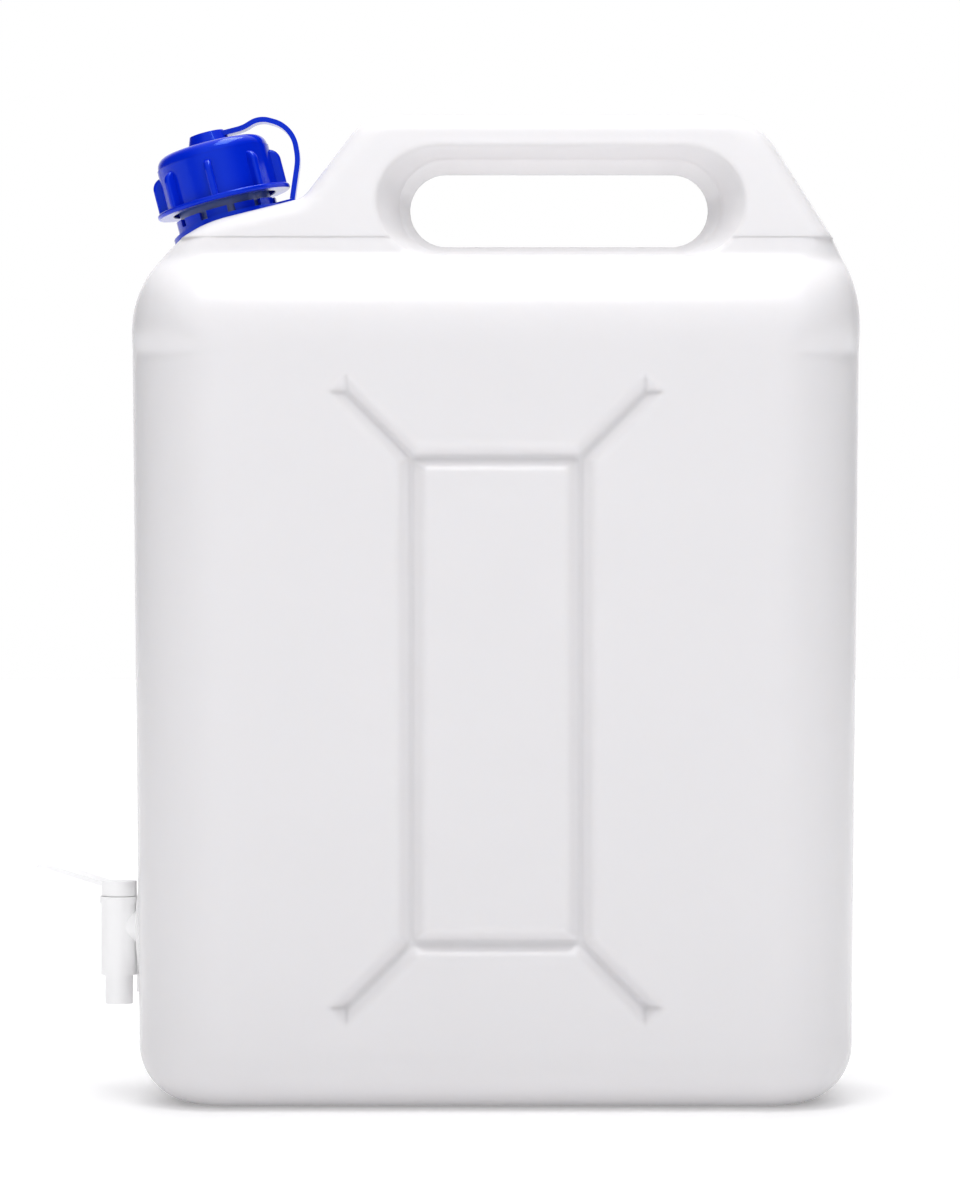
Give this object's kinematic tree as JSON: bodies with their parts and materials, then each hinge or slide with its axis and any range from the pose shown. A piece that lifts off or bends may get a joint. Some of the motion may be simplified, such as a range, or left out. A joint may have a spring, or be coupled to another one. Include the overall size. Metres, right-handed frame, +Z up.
{
  "type": "water canister",
  "caption": "Flat-sided water canister with an integral oblong handle, a tilted neck with a tethered ribbed screw cap, and a lever tap low on one narrow side.",
  "frame": {"origin": "centre of the canister's flat base, on the ground", "axes": "+X to the right of the broad front face, away from the tap; +Y from the front face to the back face; +Z up"},
  "size_m": [0.3187, 0.125, 0.3802],
  "materials": {
    "canister_plastic": "satin natural white polyethylene",
    "cap_plastic": "glossy blue",
    "liner_foam": "white foamed liner",
    "tap_plastic": "smooth white",
    "seal_rubber": "soft black rubber"
  },
  "bodies": {
    "canister": {"canister": "canister_plastic", "tap_body": "tap_plastic", "tap_washer": "seal_rubber", "tether": "cap_plastic"},
    "cap_carrier": {"cap_liner": "liner_foam"},
    "cap": {"cap": "cap_plastic"},
    "tap_plug": {"tap_plug": "tap_plastic", "plug_seal_lower": "seal_rubber", "plug_seal_upper": "seal_rubber"}
  },
  "joints": [
    {"name": "cap_lift", "type": "slide", "parent": "canister", "child": "cap_carrier", "axis": [-0.2504, 0, 0.9681], "range_m": [0, 0.006], "deforming": ["tether"]},
    {"name": "cap_turn", "type": "hinge", "parent": "cap_carrier", "child": "cap", "pos_m": [-0.1036, 0, 0.3388], "axis": [-0.2504, 0, 0.9681], "range_deg": [0, 540]},
    {"name": "tap_turn", "type": "hinge", "parent": "canister", "child": "tap_plug", "pos_m": [-0.14675, 0, 0.0653], "axis": [0, 0, -1], "range_deg": [-18, 72]}
  ],
  "couplings": [
    {"joint": "cap_lift", "follows": "cap_turn", "m_per_rad": 0.00063662}
  ]
}
